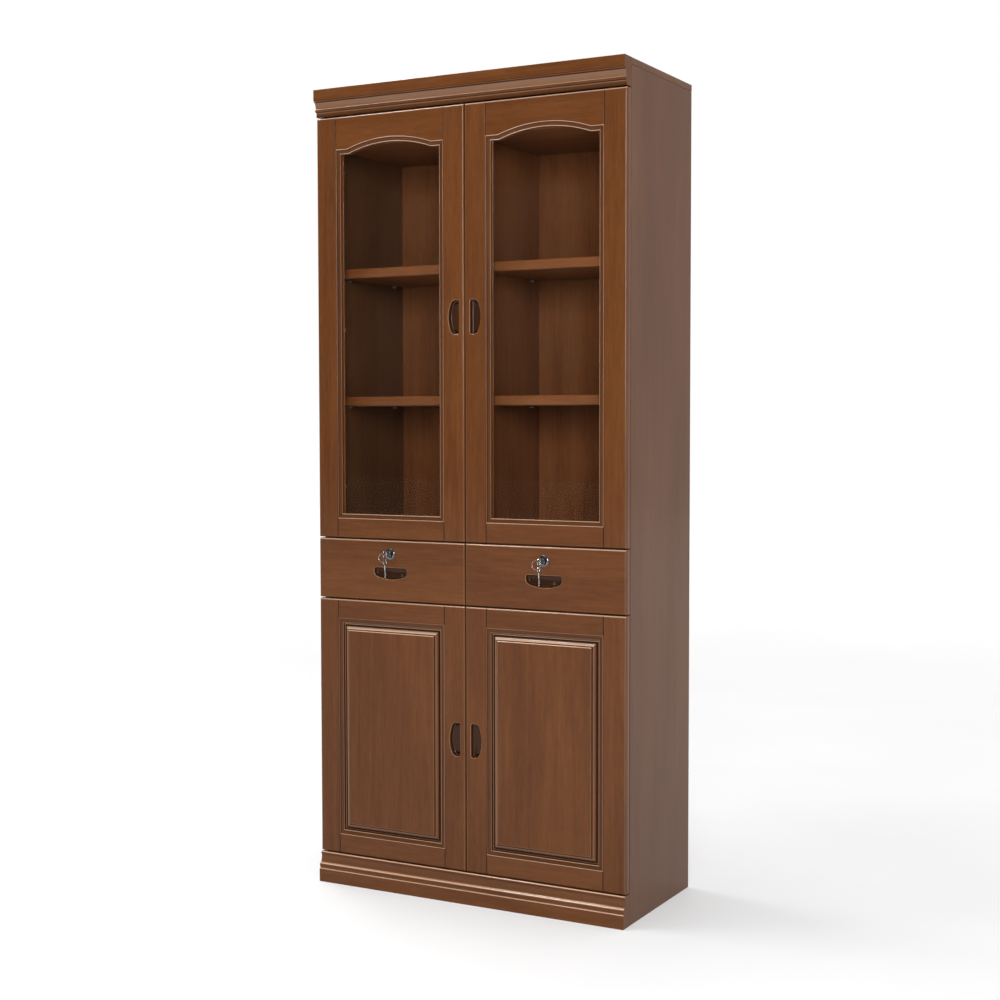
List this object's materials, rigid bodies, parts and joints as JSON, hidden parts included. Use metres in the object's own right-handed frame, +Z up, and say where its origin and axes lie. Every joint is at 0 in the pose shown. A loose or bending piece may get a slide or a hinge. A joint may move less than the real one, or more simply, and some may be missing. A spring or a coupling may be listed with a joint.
{
  "type": "china cabinet",
  "caption": "Tall cabinet with two arched glass doors over two locking drawers and two raised-panel doors, with shelves inside.",
  "frame": {"origin": "on the floor under the middle of the overall box, which includes the keys in the drawer locks", "axes": "+Z up, -Y out of the front, +X to the right of someone facing the front"},
  "size_m": [0.85, 0.4194, 2],
  "materials": {
    "stained_front": "satin stained lacquer over figured veneer and solid mouldings",
    "stained_side": "satin stained lacquer, vertical grain",
    "stained_inside": "satin stained lacquer",
    "stained_back": "matt stained hardboard",
    "drawer_wood": "clear satin lacquer",
    "clear_glass": "clear, bevelled edge",
    "nickel": "polished nickel plate",
    "zinc_plate": "bright zinc plate"
  },
  "bodies": {
    "carcass": {"side_panel_left": "stained_side", "side_panel_right": "stained_side", "bottom_board": "stained_inside", "lower_divider": "stained_inside", "deck_below_drawers": "stained_inside", "drawer_divider": "stained_inside", "deck_above_drawers": "stained_inside", "upper_divider": "stained_inside", "ceiling_board": "stained_inside", "top_rail": "stained_inside", "top_board": "stained_side", "back_panel": "stained_back", "cornice_moulding": "stained_front", "base_moulding": "stained_front", "upper_shelf_left_low": "stained_inside", "upper_shelf_left_high": "stained_inside", "lower_shelf_left": "stained_inside", "upper_shelf_right_low": "stained_inside", "upper_shelf_right_high": "stained_inside", "lower_shelf_right": "stained_inside", "slide_channel_left_outer": "zinc_plate", "slide_channel_left_inner": "zinc_plate", "slide_channel_right_outer": "zinc_plate", "slide_channel_right_inner": "zinc_plate", "hinge_arm_upper_left_bottom": "zinc_plate", "hinge_arm_upper_left_top": "zinc_plate", "hinge_arm_lower_left_bottom": "zinc_plate", "hinge_arm_lower_left_top": "zinc_plate", "hinge_arm_upper_right_bottom": "zinc_plate", "hinge_arm_upper_right_top": "zinc_plate", "hinge_arm_lower_right_bottom": "zinc_plate", "hinge_arm_lower_right_top": "zinc_plate"},
    "upper_door_left": {"upper_door_frame_left": "stained_front", "upper_door_glass_left": "clear_glass", "hinge_cup_upper_left_bottom": "zinc_plate", "hinge_cup_upper_left_top": "zinc_plate"},
    "lower_door_left": {"lower_door_frame_left": "stained_front", "lower_door_panel_left": "stained_front", "hinge_cup_lower_left_bottom": "zinc_plate", "hinge_cup_lower_left_top": "zinc_plate"},
    "drawer_left": {"drawer_front_left": "stained_front", "drawer_box_left": "drawer_wood", "lock_body_left": "nickel"},
    "key_left": {"lock_plug_with_cam_left": "zinc_plate", "key_left": "nickel"},
    "key_ring_left": {"key_ring_with_spare_left": "nickel"},
    "upper_door_right": {"upper_door_frame_right": "stained_front", "upper_door_glass_right": "clear_glass", "hinge_cup_upper_right_bottom": "zinc_plate", "hinge_cup_upper_right_top": "zinc_plate"},
    "lower_door_right": {"lower_door_frame_right": "stained_front", "lower_door_panel_right": "stained_front", "hinge_cup_lower_right_bottom": "zinc_plate", "hinge_cup_lower_right_top": "zinc_plate"},
    "drawer_right": {"drawer_front_right": "stained_front", "drawer_box_right": "drawer_wood", "lock_body_right": "nickel"},
    "key_right": {"lock_plug_with_cam_right": "zinc_plate", "key_right": "nickel"},
    "key_ring_right": {"key_ring_with_spare_right": "nickel"}
  },
  "joints": [
    {"name": "upper_door_left_hinge", "type": "hinge", "parent": "carcass", "child": "upper_door_left", "pos_m": [-0.415, -0.16575, 1.4065], "axis": [0, 0, -1], "range_deg": [0, 95]},
    {"name": "lower_door_left_hinge", "type": "hinge", "parent": "carcass", "child": "lower_door_left", "pos_m": [-0.415, -0.16575, 0.403], "axis": [0, 0, -1], "range_deg": [0, 95]},
    {"name": "drawer_left_slide", "type": "slide", "parent": "carcass", "child": "drawer_left", "axis": [0, -1, 0], "range_m": [0, 0.24]},
    {"name": "key_left_turn", "type": "hinge", "parent": "drawer_left", "child": "key_left", "pos_m": [-0.21325, -0.18775, 0.846], "axis": [0, 1, 0], "range_deg": [0, 90]},
    {"name": "key_ring_left_swing", "type": "hinge", "parent": "drawer_left", "child": "key_ring_left", "pos_m": [-0.21325, -0.19975, 0.846], "axis": [0, 1, 0], "range_deg": [-6, 6]},
    {"name": "upper_door_right_hinge", "type": "hinge", "parent": "carcass", "child": "upper_door_right", "pos_m": [0.415, -0.16575, 1.4065], "axis": [0, 0, 1], "range_deg": [0, 95]},
    {"name": "lower_door_right_hinge", "type": "hinge", "parent": "carcass", "child": "lower_door_right", "pos_m": [0.415, -0.16575, 0.403], "axis": [0, 0, 1], "range_deg": [0, 95]},
    {"name": "drawer_right_slide", "type": "slide", "parent": "carcass", "child": "drawer_right", "axis": [0, -1, 0], "range_m": [0, 0.24]},
    {"name": "key_right_turn", "type": "hinge", "parent": "drawer_right", "child": "key_right", "pos_m": [0.21325, -0.18775, 0.846], "axis": [0, 1, 0], "range_deg": [0, 90]},
    {"name": "key_ring_right_swing", "type": "hinge", "parent": "drawer_right", "child": "key_ring_right", "pos_m": [0.21325, -0.19975, 0.846], "axis": [0, 1, 0], "range_deg": [-6, 6]}
  ]
}
